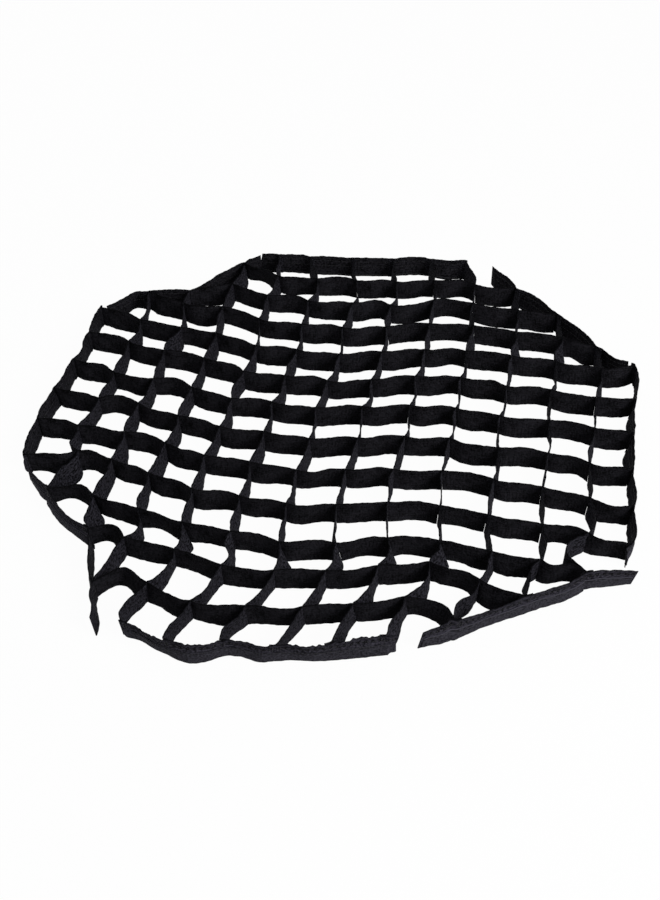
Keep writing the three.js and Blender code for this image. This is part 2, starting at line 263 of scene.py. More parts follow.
# At each crossing of a cross strip, from left to right: how far the top edges are pulled to the
# right and to the far side, and how far to the right and far side of them the feet stand.
crossing_pulls = {
    "cross_strip_01": [
        (2, 4, 4, 1), (1, 2, 0, 0), (-2, 0, 2, -2), (-1, 0, 1, 1), (1, 2, 0, 0), (0, 0, 1, -3),
    ],
    "cross_strip_02": [
        (1, 1, 2, -2), (1, 1, 1, 1), (2, 3, 0, 2), (4, 2, 0, -6), (3, -2, 2, -3), (1, 1, 2, -3),
        (0, 0, -3, -5), (1, -2, 0, -6),
    ],
    "cross_strip_03": [
        (0, -3, 2, -5), (-2, 3, 0, 0), (0, 3, 0, -2), (-1, -1, 1, -3), (3, 1, 1, -4),
        (-1, -2, 4, -3), (-1, -3, 3, -2), (3, -2, 4, -4), (1, -2, 5, -3), (2, 0, 5, -4),
    ],
    "cross_strip_04": [
        (1, 2, -1, 1), (0, 3, 1, -1), (0, 2, 3, -4), (0, 2, -2, 0), (3, -1, -2, -4), (2, 2, -1, -4),
        (3, 1, 1, -4), (2, 1, 0, 0), (-1, 1, 0, 2), (0, 2, 4, -5), (-1, 1, -2, -3), (2, 0, 3, -3),
    ],
    "cross_strip_05": [
        (1, 0, -2, -3), (-2, -1, -2, -2), (0, 0, 0, -3), (0, 1, 1, -2), (-1, 1, 1, -3),
        (3, 0, 1, -2), (2, 0, 3, -1), (3, -1, 5, -4), (2, 1, 1, 0), (2, 1, 3, 0), (3, 1, -3, 0),
        (-2, -2, 1, -4),
    ],
    "cross_strip_06": [
        (0, 0, 1, 0), (-3, 5, -1, 2), (2, 4, 1, -1), (-1, 1, -2, -2), (1, 0, 0, -3), (2, -3, 1, -3),
        (3, 2, 0, -3), (2, 0, -2, -3), (3, 2, 2, -2), (2, 2, 0, -2), (1, 0, -1, 0), (-2, 0, 2, -4),
    ],
    "cross_strip_07": [
        (0, 2, -1, 2), (0, 0, -2, -3), (-3, 3, 2, 0), (2, 3, 0, -4), (-2, 4, 1, -6), (0, 2, 4, -3),
        (-1, 2, 0, -3), (2, 0, -1, -3), (2, 0, 2, -3), (0, 2, -2, -3), (2, 2, 2, 1), (1, -3, 1, -3),
    ],
    "cross_strip_08": [
        (1, -3, 2, -3), (0, -2, 2, -1), (0, -2, 2, -3), (0, 2, 0, -1), (1, 0, 1, -5),
        (0, -2, -2, -1), (1, 1, 0, -1), (0, -1, 0, -4), (0, 1, 1, -3), (2, 0, 3, -3), (-2, 2, 0, 0),
        (0, -2, -3, 0),
    ],
    "cross_strip_09": [
        (1, 1, 3, -6), (2, 2, 2, -1), (3, 0, 0, 0), (2, 1, 1, -4), (0, 1, 1, -1), (1, 1, -2, -1),
        (-2, 1, -1, -2), (-1, 0, 0, -3), (-1, -1, -2, -2), (-2, 0, -4, 0), (1, 1, -2, -2),
        (0, 3, -4, -3),
    ],
    "cross_strip_10": [
        (0, 0, 8, -3), (0, -2, 3, -5), (0, 1, 10, -4), (0, 1, 4, 0), (-3, 1, 5, -3), (1, -2, 8, 0),
        (0, 2, 5, -1), (0, -1, 8, -1), (3, -2, 4, -3), (-2, -1, -5, -7),
    ],
    "cross_strip_11": [
        (4, 3, -1, -1), (-1, 1, -2, 0), (0, -2, 1, -3), (-1, 1, 0, 0), (1, 2, 0, 0), (-2, 2, 1, -3),
        (-1, 0, 2, -2), (2, -2, -2, -8),
    ],
    "cross_strip_12": [
        (2, 0, -3, -4), (2, 0, 0, 0), (1, -3, 2, -1), (2, 2, 1, 0), (2, 1, 4, 1), (0, 4, 4, 0),
    ],
}

# The same at the two ends of each side of the rim, and at each strip's seam between them.
seam_pulls = {
    "far": [
        (-3, 0, 0, 0), (0, 0, -1, -8), (-1, 0, -2, 0), (-1, 2, -1, -4), (-3, 0, -1, -7),
        (-3, -1, -2, -4), (1, 0, 1, -4), (-4, 0, -7, -2),
    ],
    "far_right": [
        (3, -1, 4, 6), (3, 0, 2, -6), (1, 1, -2, 0), (2, 0, 0, -5), (0, 2, -1, -2), (2, 1, 2, -3),
        (3, 2, -6, 0), (-1, 2, 0, -2),
    ],
    "right": [
        (-1, 1, 2, 4), (2, -1, -3, 2), (-3, -1, -4, -4), (0, -1, -4, 0), (1, 0, -5, 1),
        (0, 0, -3, 1), (1, 1, 2, -1), (-3, 1, -1, 0),
    ],
    "near_right": [
        (-3, 2, -7, 2), (-2, 3, 2, -6), (5, 1, 0, -3), (-2, -1, 0, 0), (3, 1, -3, -1),
        (-1, -1, 0, -1), (-1, 0, -4, -1), (2, 1, -5, 8),
    ],
    "near": [
        (-3, 0, 1, 3), (-1, 1, 2, 5), (-2, 0, 5, 3), (-3, -1, -3, 2), (-4, 1, -5, 3), (-2, 0, 0, 1),
        (-2, -1, 2, -2), (1, 1, 0, 3),
    ],
    "near_left": [
        (-1, 0, -1, -2), (-2, 2, -4, 4), (-4, 0, -6, 1), (-1, 2, -5, -2), (-1, 0, 2, 2),
        (-2, -2, -2, -2), (0, -1, 0, 2), (-4, -2, 4, -2),
    ],
    "left": [
        (0, 1, 0, 0), (-1, 0, 1, -3), (-2, 0, 0, -1), (1, 0, 2, -1), (1, 1, 8, -2), (-2, -2, 2, -2),
        (-4, -4, -2, 1), (-2, 0, 3, 0),
    ],
    "far_left": [
        (3, 3, 2, 0), (1, 1, 5, 0), (-1, 2, 1, 1), (-1, -1, 0, 0), (1, 2, 0, -1), (-1, 2, -1, 0),
        (-2, 1, -4, -4), (-1, -2, 4, -2),
    ],
}

# How far the cloth bows out of its right-hand face between each two of those places: the middle
# of its top edge, the skew of that bow towards the first half, and both again for the foot.
span_bows = {
    "cross_strip_01": [
        (-4, 2, -9, -4), (-1, 0, 3, 3), (-12, 1, -5, 2), (-8, 3, -4, 2), (-1, 1, 0, 2),
        (-6, 3, -5, 6), (5, 0, 9, -1),
    ],
    "cross_strip_02": [
        (4, 0, 12, -1), (4, 1, 6, 0), (-14, 3, -9, 2), (-2, 3, 0, 2), (-8, 4, -6, 4), (8, 0, 9, 1),
        (-4, -2, -8, -2), (0, 2, 4, 0), (0, 0, 2, -2),
    ],
    "cross_strip_03": [
        (3, 0, 7, 3), (2, 1, 12, -2), (-9, 0, -6, 0), (0, 2, -1, 1), (-5, 3, 0, 3), (0, 3, 0, 2),
        (-6, 1, -6, 0), (0, 1, -5, -1), (1, 1, 2, 0), (-3, 0, -3, 0), (0, 0, 1, -4),
    ],
    "cross_strip_04": [
        (-7, 2, -1, 2), (-5, -1, -2, 1), (0, -1, 1, -2), (0, 2, 0, 1), (-3, 1, 1, 1),
        (-1, 2, -1, 2), (-5, 3, -3, 2), (-1, 1, 3, 2), (-1, 3, -2, 4), (-4, 0, -2, 2),
        (-4, 2, -3, 2), (-1, 4, 2, 3), (1, 1, 6, -1),
    ],
    "cross_strip_05": [
        (-10, 1, -5, 2), (5, 1, 5, 1), (-3, 0, -1, -1), (-8, 3, -6, 2), (-3, 1, -1, 1),
        (-8, 3, -4, 2), (4, 2, 1, 1), (-2, 2, -2, 2), (-1, 2, -1, 3), (-6, 4, -1, 4),
        (-2, 1, -1, 2), (5, 0, 8, 2), (0, 0, 2, -1),
    ],
    "cross_strip_06": [
        (-6, 4, -1, 4), (4, -1, 7, -3), (-15, 1, -12, 0), (-4, 1, 0, 2), (-4, 1, -3, 1),
        (3, 2, 3, 2), (-6, 2, -5, 1), (0, 2, 0, 2), (2, 3, 3, 5), (2, 2, 5, 3), (3, 1, 5, 1),
        (-6, 0, -8, 0), (-1, 1, 3, 0),
    ],
    "cross_strip_07": [
        (-5, 1, -1, 1), (-15, 0, -13, -2), (4, 2, 6, 1), (-4, 0, -2, 0), (2, 0, 2, 2),
        (-3, 2, -4, 2), (-3, 2, -4, 2), (-1, 2, 1, 2), (5, 2, 3, 1), (3, 2, 6, 2), (-7, 1, -6, 0),
        (-2, 2, -4, 4), (4, 2, 5, 1),
    ],
    "cross_strip_08": [
        (-7, 1, -4, 1), (1, -1, 3, -3), (-6, 0, -3, 0), (-3, 2, 1, 2), (-4, 1, -4, 2),
        (0, 2, -1, 3), (4, 3, 0, 2), (-2, 2, -3, 3), (2, 0, 0, 1), (-3, 1, -4, 0), (4, 2, 4, 2),
        (0, 1, 0, 2), (6, 0, 3, 2),
    ],
    "cross_strip_09": [
        (6, -1, 10, -6), (-4, -2, -2, -3), (-4, 2, -2, 2), (-4, 2, -3, 4), (-2, 3, -1, 3),
        (-2, 2, -2, 2), (0, 2, -1, 3), (0, 0, -1, 1), (-1, 1, -2, 1), (1, 0, -1, -1), (-1, 1, 0, 2),
        (-8, 2, -11, 0), (7, 2, 2, 1),
    ],
    "cross_strip_10": [
        (-14, 3, -17, -4), (5, 2, 3, 1), (1, -1, -4, -4), (-3, 0, -4, -1), (-9, 0, -8, 0),
        (-4, 2, -3, 0), (-1, 2, -3, -1), (-5, -1, -3, -2), (-3, 0, 0, -2), (3, 0, 3, 2),
        (1, 6, -3, 7),
    ],
    "cross_strip_11": [
        (-18, 1, -17, -5), (-3, 0, 0, 0), (-2, 0, -3, 0), (4, -1, 4, -1), (-3, 0, 0, 0),
        (1, 0, 0, 1), (3, -1, 3, 0), (3, 3, -3, 4), (0, 0, 5, 2),
    ],
    "cross_strip_12": [
        (1, 1, -1, -4), (6, -1, 6, -2), (0, 1, 4, -1), (0, -2, -2, -1), (-2, 0, 0, 0), (8, 0, 8, 0),
        (-11, 3, -9, -1),
    ],
    "long_strip_01": [
        (-3, 2, 0, 1), (-4, 0, -6, 0), (-2, -2, -3, 0), (-2, -3, -1, 0), (-6, 1, -5, 2),
        (12, -6, 10, -3), (-8, 0, -16, -6),
    ],
    "long_strip_02": [
        (0, 0, 0, 0), (0, 0, -3, -1), (3, -3, -5, -2), (0, -2, -4, -1), (-1, 1, -4, 0),
        (4, -2, 2, -2), (-2, -1, -10, 1), (-4, -2, -4, 0), (6, -2, -9, -2),
    ],
    "long_strip_03": [
        (-2, 0, -5, -2), (0, 0, -1, -1), (1, 0, -3, 0), (1, -1, -4, 0), (0, 0, 1, -1),
        (3, -1, 2, 0), (-6, -1, -7, -1), (-3, 1, -8, 2), (3, -3, 1, -1), (-11, 2, -11, 0),
        (-2, 2, -2, 0),
    ],
    "long_strip_04": [
        (4, -3, 1, -1), (-3, 2, -2, 0), (-3, 1, -6, 0), (0, 0, 0, 1), (0, 0, -3, 0), (3, -2, 3, 0),
        (-4, 2, -7, -2), (-2, 1, -3, 1), (0, -1, -3, 1), (-1, -2, 0, 1), (-5, 1, -11, -3),
        (-8, 0, -6, 1), (1, -2, 1, -2),
    ],
    "long_strip_05": [
        (0, 0, 0, 1), (-4, 2, -4, 0), (0, 0, -2, 0), (-2, 1, -4, 0), (1, -1, -1, -2),
        (-6, 2, -7, 0), (-1, 0, -1, 0), (-1, 0, -3, 0), (-8, 0, -8, 0), (0, -2, -2, 0),
        (3, 6, -4, 2), (-3, 2, 2, 1), (-2, -2, 4, -2),
    ],
    "long_strip_06": [
        (3, -2, 2, 1), (-3, 2, -4, 0), (-3, 2, -5, -1), (-4, 2, -1, 2), (0, 2, -2, 0),
        (0, 1, -2, 1), (-4, 0, -3, 2), (-4, 0, -6, 2), (-2, 2, -6, 2), (2, -2, 2, -1),
        (-1, 0, -9, -6), (-7, 0, -1, 1), (2, -4, 6, -1),
    ],
    "long_strip_07": [
        (2, 0, 4, 3), (-7, 2, -5, 0), (4, -2, 3, 0), (1, 0, 0, 2), (-2, 1, -2, 0), (-9, 3, -6, 0),
        (-2, 1, -1, 1), (2, 1, 2, 0), (0, 0, -2, 0), (0, -1, 7, -4), (-4, 2, -6, -3), (0, 0, 0, 0),
        (1, 0, 3, -1),
    ],
    "long_strip_08": [
        (-2, 1, 0, 1), (-2, 0, -2, 0), (2, 0, 2, 1), (1, 0, -4, 0), (-5, 3, -6, 0), (-4, 2, -3, 2),
        (-1, 2, -3, 0), (1, 0, -2, 0), (0, 2, -2, 0), (3, 0, 3, -2), (-4, 0, -7, -4),
        (-6, 0, -8, 4), (-2, -1, -4, 2),
    ],
    "long_strip_09": [
        (-2, 2, -1, 1), (2, 0, 1, 0), (0, 2, 3, 1), (1, -1, -1, -3), (-4, 0, -2, 2), (-2, 3, -1, 0),
        (-4, 3, -3, 2), (0, 1, 2, 0), (1, 2, -1, 0), (0, -2, 1, 0), (-2, -2, -7, -6),
        (-13, 0, -14, 2), (1, -3, -1, 2),
    ],
    "long_strip_10": [
        (-1, 1, 1, 2), (2, -1, 1, 0), (1, -3, -5, -3), (0, 2, -1, 0), (-7, 2, -3, 2), (3, 1, 3, 0),
        (-2, 0, -2, 0), (1, 0, -4, 0), (-2, -2, 1, -1), (0, 2, 1, 0), (13, -7, 18, -6),
    ],
    "long_strip_11": [
        (0, 0, 1, 1), (3, -3, -3, -4), (-6, 1, -6, -4), (2, 0, 2, 0), (-2, 1, -2, -2),
        (-4, 1, -1, 1), (-4, 0, -4, 2), (-3, 1, -3, 2), (7, 3, 11, 4),
    ],
    "long_strip_12": [
        (0, 0, 0, 0), (1, -1, -2, 0), (-2, 0, -3, -1), (1, -2, -3, 0), (-3, 1, -4, 2),
        (-8, 1, -8, 2), (8, 2, 7, 2),
    ],
    "far": [
        (-1, 0, 0, 0), (-2, -1, -9, 1), (7, 1, 2, 0), (1, 0, 0, 0), (2, -1, 0, 1), (4, 1, 1, 0),
        (1, 1, -3, -1),
    ],
    "far_right": [
        (0, -2, 2, -2), (0, 0, 0, 0), (6, 2, 2, 0), (0, 0, 0, 0), (8, -3, 2, -1), (0, 0, 0, 0),
        (6, 2, 1, 2),
    ],
    "right": [
        (-3, -1, 0, 0), (4, 2, 2, 3), (2, 2, 1, 1), (1, 0, -5, 2), (-1, 1, -5, 3), (4, -1, 2, -2),
        (2, 0, 0, 0),
    ],
    "near_right": [
        (4, -1, 2, -1), (0, 0, 1, 0), (3, 0, -3, 0), (0, 0, 0, 0), (4, -1, 3, -2), (0, 0, 0, 0),
        (0, 0, 2, 0),
    ],
    "near": [
        (-2, 0, -2, 0), (-3, -2, -3, 0), (7, -2, 11, 0), (-1, -2, -1, -3), (1, -2, -2, -1),
        (-2, 0, 0, 0), (0, 0, -1, -1),
    ],
    "near_left": [
        (0, -1, 0, -3), (0, 0, 0, 0), (12, -2, 9, 0), (0, 0, 0, 0), (5, -1, 3, 0), (0, 0, 0, 0),
        (2, 2, -1, 2),
    ],
    "left": [
        (1, 0, 0, 0), (4, 0, 2, 0), (-3, 4, -1, 0), (-3, 2, -2, 1), (1, -2, 1, 1), (4, 0, -1, 0),
        (2, 0, 2, 0),
    ],
    "far_left": [
        (2, -1, 2, 0), (0, 0, 0, 0), (4, 2, 2, -2), (0, 0, 0, 0), (9, 2, 7, 2), (0, 0, 0, 0),
        (-2, 0, 0, 2),
    ],
}

swell_length = 42 * mm
swell_depth = 1.3 * mm
crease_length = 15 * mm
crease_depth = 0.8 * mm
crease_slant = 0.35
crease_slimness = 2.4
frill_length = 8 * mm
frill_depth = 0.9 * mm
frill_reach = 5 * mm
held_reach = 9 * mm
hem_unevenness = 0.7 * mm
hem_length = 17 * mm
nick_depth = 0.6 * mm
band_nick_depth = 0.9 * mm
frayed_nick_depth = 4.5 * mm
nick_length = 5 * mm
ear_height = 1.6 * mm
ear_reach = 5 * mm
ear_share = 0.6
flattest = 0.8
# Each kind of unevenness has its own place in the noise, and each piece of cloth is further on.
crease_seed, frill_seed, hem_seed, nick_seed, ear_seed = 5.3, 2.9, 7.1, 8.4, 4.4
strip_seed_step = 3.1
band_seed = 90
band_seed_step = 4.3


def ripple(x, y, seed):
    """Smooth noise from -1 to 1 at each pair of numbers."""
    return np.array([noise.noise(Vector((a, b, seed))) for a, b in zip(x, y)])


def ease(t):
    t = np.clip(t, 0, 1)
    return t * t * (3 - 2 * t)


class Cloth:
    """A piece of cloth on edge: its line, the marks on it where it is held, how far it is pulled
    at each of them and how it bows between each two."""

    def __init__(self, line, marks, pulls, bows, seed):
        self.line = line
        self.marks = np.array(marks)
        self.pulls = np.array(pulls) * mm
        self.bows = np.array(bows) * mm
        self.seed = seed
        self.ears = 0.0
        self.nicks = (nick_depth, nick_depth)
        self.tabs = []

    def drift(self, along, foot_share):
        """How far the cloth lies from its line, and how much of its height it stands to."""
        inside = np.clip(along, self.marks[0], self.marks[-1])
        span = np.searchsorted(self.marks, inside, side="right") - 1
        span = np.clip(span, 0, len(self.bows) - 1)
        before, after = self.marks[span], self.marks[span + 1]
        share = ((inside - before) / (after - before))[:, None]
        pull = self.pulls[span] * (1 - share) + self.pulls[span + 1] * share
        across = self.line.right(inside)
        middle, halves_apart = np.sin(math.pi * share), np.sin(2 * math.pi * share)
        top_bow, top_skew, foot_bow, foot_skew = self.bows[span].T[..., None]
        top = pull[:, :2] + across * (top_bow * middle + top_skew * halves_apart)
        foot = pull.reshape(-1, 2, 2).sum(axis=1)
        foot = foot + across * (foot_bow * middle + foot_skew * halves_apart)
        leaning = np.minimum(np.linalg.norm(foot - top, axis=1) / strip_height, flattest)
        free = ease(np.minimum(inside - before, after - inside) / held_reach)
        down = foot_share * strip_height
        to_edge = np.minimum(down, strip_height - down)
        creases = free * (
            swell_depth * ripple(along / swell_length, down / swell_length, self.seed)
            + crease_depth
            * ripple(
                (along + crease_slant * down) / crease_length,
                down / (crease_slimness * crease_length),
                self.seed + crease_seed,
            )
            + frill_depth
            * np.exp(-np.maximum(to_edge, 0) / frill_reach)
            * ripple(along / frill_length, foot_share, self.seed + frill_seed)
        )
        foot_share = foot_share[:, None]
        drifted = top * (1 - foot_share) + foot * foot_share + across * creases[:, None]
        return drifted, np.sqrt(1 - leaning**2)

    def place(self, flat):
        """Stands flat points on the line: x along it, y up and z out of the right-hand face."""
        along, up, out = flat.T
        foot_share = 1 - up / strip_height
        drifted, upright = self.drift(along, foot_share)
        # A tab goes wherever the cloth that it is sewn to goes.
        for mark, way, band, joint, band_way in self.tabs:
            on = way * (along - mark) > 0
            there = joint + band_way * way * (along[on] - mark)
            drifted[on], upright[on] = band.drift(there, foot_share[on])
        plan = self.line.at(along) + self.line.right(along) * out[:, None] + drifted
        # The cut edges are a little uneven, and the foot never goes below the table.
        uneven = hem_unevenness * ripple(along / hem_length, foot_share, self.seed + hem_seed)
        nicks = np.where(foot_share > 0.5, *self.nicks)
        uneven += nicks * ripple(along / nick_length, foot_share, self.seed + nick_seed)
        rise = np.where(foot_share > 0.5, np.abs(uneven), uneven) * np.abs(2 * foot_share - 1)
        if self.ears:
            # At a slot the cut corners stand up.
            nearest = np.abs(along[:, None] - self.marks[None, 1:-1]).min(axis=1)
            shape = np.exp(-((nearest / ear_reach) ** 2)) * (1 - foot_share) ** 2
            shape *= ear_share + ripple(along / ear_reach, foot_share, self.seed + ear_seed)
            rise += self.ears * shape
        return np.column_stack([plan, up * upright + rise])


band_cloth = {}
for number, side in enumerate(sides):
    marks = [0.0, *sorted(joints_on_side[side]), rim[side].length]
    seed = band_seed + band_seed_step * number
    band_cloth[side] = Cloth(rim[side], marks, seam_pulls[side], span_bows[side], seed)
    # The near side's fold is the most worn.
    frayed = frayed_nick_depth if side == "near" else band_nick_depth
    band_cloth[side].nicks = (nick_depth / 2, frayed)

strip_cloth = {}
for number, name in enumerate(inner_places):
    line = strip_lines[name]
    marks, pulls = [], []
    for mark, (side, joint, _) in zip(tab_marks[name], seams[name]):
        marks.append(mark)
        pulls.append(seam_pulls[side][1 + sorted(joints_on_side[side]).index(joint)])
    for place, other in crossings[name]:
        cross, long = sorted((name, other))
        met = [long_name for _, long_name in crossings[cross]]
        marks.append(line.nearest(place))
        pulls.append(crossing_pulls[cross][met.index(long)])
    order = np.argsort(marks)
    marks, pulls = np.array(marks)[order], np.array(pulls)[order]
    cloth = Cloth(line, marks, pulls, span_bows[name], seed=number * strip_seed_step)
    for mark, (side, joint, way), outward in zip(tab_marks[name], seams[name], (-1, 1)):
        if way:
            cloth.tabs.append((mark, outward, band_cloth[side], joint, way))
    cloth.ears = ear_height if name in long_names else ear_height / 2
    strip_cloth[name] = cloth


# The inner strips
# Twenty-four strips of thin black woven nylon, all cut to one height. Twelve have their slots at
# the foot and twelve at the top, so that they sit into each other. Their ends are sewn to the rim.
column_step = 2 * mm
row_step = 2.6 * mm
edge_row = 1 * mm
slot_play = 0.2 * mm
slot_gap = 0.15 * mm
smooth_below = math.radians(50)


def linear(hex_colour):
    """The linear colour of an sRGB hex value."""
    values = [int(hex_colour[k : k + 2], 16) / 255 for k in (1, 3, 5)]
    return (*(v / 12.92 if v < 0.04045 else ((v + 0.055) / 1.055) ** 2.4 for v in values), 1)


def add(material, kind, inputs, **settings):
    """Adds a node to a material. An input takes a value or another node's output."""
    made = material.node_tree.nodes.new("ShaderNode" + kind)
    for name, value in settings.items():
        setattr(made, name, value)
    for name, value in inputs.items():
        if isinstance(value, bpy.types.NodeSocket):
            material.node_tree.links.new(value, made.inputs[name])
        else:
            made.inputs[name].default_value = value
    return made


def new_material(name):
    material = bpy.data.materials.new(name)
    material.use_nodes = True
    material.node_tree.nodes.clear()
    return material


# How wide each pattern of the cloth is along it and up it, and between which sums of them its
# tone goes from dark to light. Real threads are 0.4 mm apart, and are drawn coarser here so that
# they show.
thread_pitch = 1 * mm
rib_size = (3 * mm, 14 * mm)
streak_size = (16 * mm, 2.2 * mm)
patch_size = (34 * mm, 22 * mm)
tone_range = (0.42, 0.58)
nylon_tones = ("#060607", "#29282d")
violet_sheen = "#8f8ba6"


def woven_cloth(name, dark, light, nap, roughness, sheen, specked=0.5, hem=None, painted_highlight_at=None):
    """Plain-woven nylon that has been handled and folded. Its threads show as fine ribs up the
    cloth and streaks along it, and its nap as specks. The UV map is in metres along and up it. A
    turned hem is darker from its height upwards, and its row of stitches draws it into dimples,
    which are sunk into the relief and painted with shade. A selvedge has a painted highlight: a
    paler line at its height, where its edge would catch the light."""
    cloth = new_material(name)
    uv = add(cloth, "UVMap", {}, uv_map="cloth").outputs["UV"]
    place = add(cloth, "SeparateXYZ", {"Vector": uv}).outputs
    threads = (1 / thread_pitch, 1 / thread_pitch, 1)
    weave_uv = add(cloth, "Mapping", {"Vector": uv, "Scale": threads})
    weave = add(cloth, "TexChecker", {"Vector": weave_uv.outputs["Vector"], "Scale": 1.0})
    patterns = {"weave": weave.outputs["Fac"]}
    sizes = {"ribs": rib_size, "streaks": streak_size, "specks": nap, "patches": patch_size}
    detail = {"ribs": 2.0, "streaks": 2.0, "specks": 1.0, "patches": 3.0}
    for kind, (along, up) in sizes.items():
        spread = add(cloth, "Mapping", {"Vector": uv, "Scale": (1 / along, 1 / up, 1)})
        inputs = {"Vector": spread.outputs["Vector"], "Scale": 1.0, "Detail": detail[kind]}
        patterns[kind] = add(cloth, "TexNoise", {**inputs, "Roughness": 0.6}).outputs["Fac"]

    # The tone and the relief are sums of these patterns, each times its share.
    plain = (1 - specked) / 3
    shares = {
        "tone": {"specks": specked, "ribs": plain, "streaks": plain, "patches": plain},
        "relief": {"ribs": 0.45, "specks": 0.4, "weave": 0.15},
    }
    sums = dict.fromkeys(shares, 0.0)
    for total, parts in shares.items():
        for kind, share in parts.items():
            inputs = {0: patterns[kind], 1: share, 2: sums[total]}
            sums[total] = add(cloth, "Math", inputs, operation="MULTIPLY_ADD").outputs[0]
    relief = sums["relief"]

    # How far a place is from the cloth's middle, from its row of stitches and from the painted
    # highlight along its selvedge.
    half = strip_height / 2
    away = {}
    for mark, height in {"middle": half, "stitches": hem and stitch_row, "painted_highlight_at": painted_highlight_at}.items():
        if height:
            above = add(cloth, "Math", {0: place["Y"], 1: height}, operation="SUBTRACT")
            away[mark] = add(cloth, "Math", {0: above.outputs[0]}, operation="ABSOLUTE").outputs[0]

    # Each layer of colour: what it follows, from where to where, its full share and its hex value.
    layers = [(sums["tone"], *tone_range, 1.0, light)]
    if hem:
        layers.append((place["Y"], hem, hem + hem_blend, 0.35, dark))
        inputs = {0: place["X"], 1: 2 * math.pi / dimple_pitch}
        turns = add(cloth, "Math", inputs, operation="MULTIPLY").outputs[0]
        wave = add(cloth, "Math", {0: turns}, operation="SINE").outputs[0]
        inputs = {"Value": wave, "From Min": -0.2, "From Max": 0.5, "To Max": 0.95}
        pits = add(cloth, "MapRange", inputs).outputs["Result"]
        inputs = {"Value": away["stitches"], "From Min": 3.2 * mm, "From Max": 1.6 * mm}
        row = add(cloth, "MapRange", inputs).outputs["Result"]
        dimples_and_shade = add(cloth, "Math", {0: pits, 1: row}, operation="MULTIPLY").outputs[0]
        # The dimples are painted with shade, as well as sunk into the relief below.
        layers.append((dimples_and_shade, 0.0, 1.0, 1.0, stitch_shadow))
        inputs = {0: dimples_and_shade, 1: -1.2, 2: relief}
        relief = add(cloth, "Math", inputs, operation="MULTIPLY_ADD").outputs[0]
    # The painted highlight: a paler line along the selvedge, where its edge would catch the light.
    if painted_highlight_at:
        layers.append((away["painted_highlight_at"], 1.6 * mm, 0.6 * mm, 0.5, painted_highlight_colour))
    # The cloth is darker within 1.4 mm of its top and its foot.
    layers.append((away["middle"], half - 1.4 * mm, half - 0.4 * mm, 0.8, dark))
    colour = linear(dark)
    for value, low, high, share, over in layers:
        inputs = {"Value": value, "From Min": low, "From Max": high, "To Max": share}
        factor = add(cloth, "MapRange", inputs).outputs["Result"]
        inputs = {"Factor": factor, "A": colour, "B": linear(over)}
        colour = add(cloth, "Mix", inputs, data_type="RGBA").outputs["Result"]
    bump = add(cloth, "Bump", {"Height": relief, "Strength": 0.8, "Distance": 1.1 * mm})
    shader = add(
        cloth,
        "BsdfPrincipled",
        {
            "Base Color": colour,
            "Roughness": roughness,
            "Sheen Weight": sheen,
            "Sheen Roughness": 0.5,
            "Sheen Tint": linear(violet_sheen),
            "Specular IOR Level": 0.04,
            "Normal": bump.outputs["Normal"],
        },
    )
    add(cloth, "OutputMaterial", {"Surface": shader.outputs["BSDF"]})
    return cloth


# The two sets of strips were cut along and across the bolt, so that their specks lie differently.
across_nap = (2.6 * mm, 2.6 * mm)
along_nap = (4 * mm, 2.8 * mm)
cross_nylon = woven_cloth(
    "woven nylon, across", *nylon_tones, across_nap, roughness=0.9, sheen=0.01, specked=0.3
)
long_nylon = woven_cloth(
    "woven nylon, along", "#030304", "#34333a", along_nap, roughness=0.9, sheen=0.01, specked=0.7
)


def evenly(marks, step):
    """The marks, with even steps between each two of them."""
    made = [marks[0]]
    for before, after in zip(marks, marks[1:]):
        count = max(1, math.ceil((after - before) / step))
        made += [before + (after - before) * (n + 1) / count for n in range(count)]
    return np.array(made)


def cut_flat(name, columns, rows, thickness, slots=(), out=0.0):
    """A flat piece of cloth with its columns and rows of faces at these places. A slot is its
    first and last length and its lowest and highest height."""
    bpy.ops.object.select_all(action="DESELECT")
    across, high = len(columns) - 1, len(rows) - 1
    bpy.ops.mesh.primitive_grid_add(x_subdivisions=across, y_subdivisions=high, size=1)
    piece = bpy.context.active_object
    piece.name = piece.data.name = name
    mesh = piece.data
    start = np.empty(len(mesh.vertices) * 3)
    mesh.vertices.foreach_get("co", start)
    start = start.reshape(-1, 3) + 0.5
    flat = np.zeros_like(start)
    flat[:, 0] = columns[np.rint(start[:, 0] * across).astype(int)]
    flat[:, 1] = rows[np.rint(start[:, 1] * high).astype(int)]
    flat[:, 2] = out
    mesh.vertices.foreach_set("co", flat.ravel())
    corner = np.empty(len(mesh.loops), int)
    mesh.loops.foreach_get("vertex_index", corner)
    mesh.uv_layers.active.name = "cloth"
    mesh.uv_layers.active.data.foreach_set("uv", flat[corner, :2].ravel())
    mesh.update()
    if slots:
        bpy.ops.object.mode_set(mode="EDIT")
        bpy.ops.mesh.select_mode(type="FACE")
        bpy.ops.mesh.select_all(action="DESELECT")
        bpy.ops.object.mode_set(mode="OBJECT")
        for face in mesh.polygons:
            x, y = face.center[:2]
            face.select = any(a < x < b and c < y < d for a, b, c, d in slots)
        bpy.ops.object.mode_set(mode="EDIT")
        bpy.ops.mesh.delete(type="FACE")
        bpy.ops.object.mode_set(mode="OBJECT")
    solid = piece.modifiers.new("thickness", "SOLIDIFY")
    solid.thickness = thickness
    solid.offset = 0
    bpy.ops.object.modifier_apply(modifier=solid.name)
    return piece


def stand_up(piece, cloth):
    """Stands a flat piece on its cloth's line."""
    mesh = piece.data
    flat = np.empty(len(mesh.vertices) * 3)
    mesh.vertices.foreach_get("co", flat)
    mesh.vertices.foreach_set("co", cloth.place(flat.reshape(-1, 3)).ravel())
    mesh.update()
    bpy.ops.object.select_all(action="DESELECT")
    piece.select_set(True)
    bpy.context.view_layer.objects.active = piece
    bpy.ops.object.shade_smooth_by_angle(angle=smooth_below)


